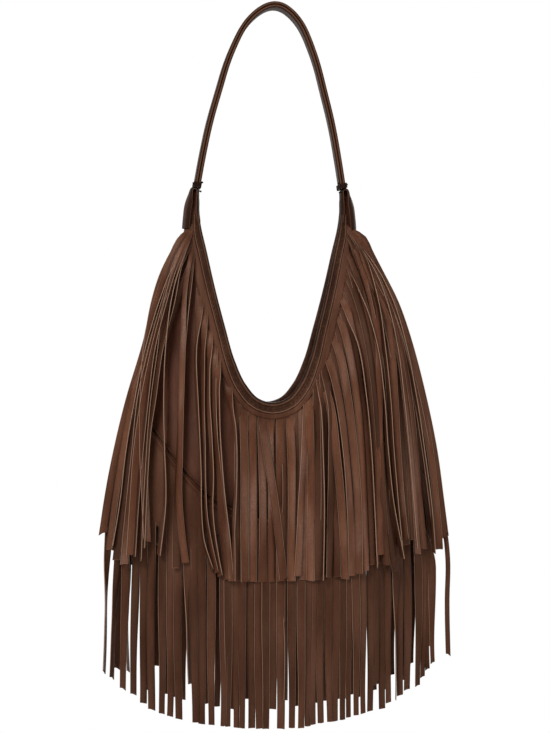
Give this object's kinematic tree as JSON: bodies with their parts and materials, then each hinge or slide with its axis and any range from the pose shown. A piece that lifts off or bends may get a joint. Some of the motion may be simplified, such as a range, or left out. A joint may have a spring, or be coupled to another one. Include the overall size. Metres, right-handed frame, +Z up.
{
  "type": "fringed leather shoulder bag",
  "caption": "Slouchy leather shoulder bag with a U-shaped bound mouth, a single sewn strap and two tiers of long cut fringe on both faces, hanging from its strap.",
  "frame": {"origin": "underside of the strap's crown, where a hook or a shoulder carries the bag", "axes": "+Z up along the hanging bag, +X across its width to the right, the front facing -Y"},
  "size_m": [0.3091, 0.0932, 0.6542],
  "materials": {
    "strap_leather": "smooth brown leather with a soft sheen",
    "pouch_leather": "smooth brown leather, fine grain",
    "binding_leather": "folded and stitched brown leather",
    "fringe_leather": "thin soft brown leather with cut edges",
    "lining_cloth": "dark brown woven cotton",
    "thread": "waxed dark thread"
  },
  "bodies": {
    "root": {"strap_outer_ply": "strap_leather", "strap_inner_ply": "strap_leather", "strap_tab_left": "strap_leather", "strap_tab_right": "strap_leather", "lashing_left": "thread", "lashing_right": "thread", "pouch_front": "pouch_leather", "pouch_back": "pouch_leather", "lining_front": "lining_cloth", "lining_back": "lining_cloth", "binding_front": "binding_leather", "binding_back": "binding_leather", "fringe_upper_front": "fringe_leather", "fringe_upper_back": "fringe_leather", "fringe_lower_front": "fringe_leather", "fringe_lower_back": "fringe_leather"}
  },
  "joints": []
}
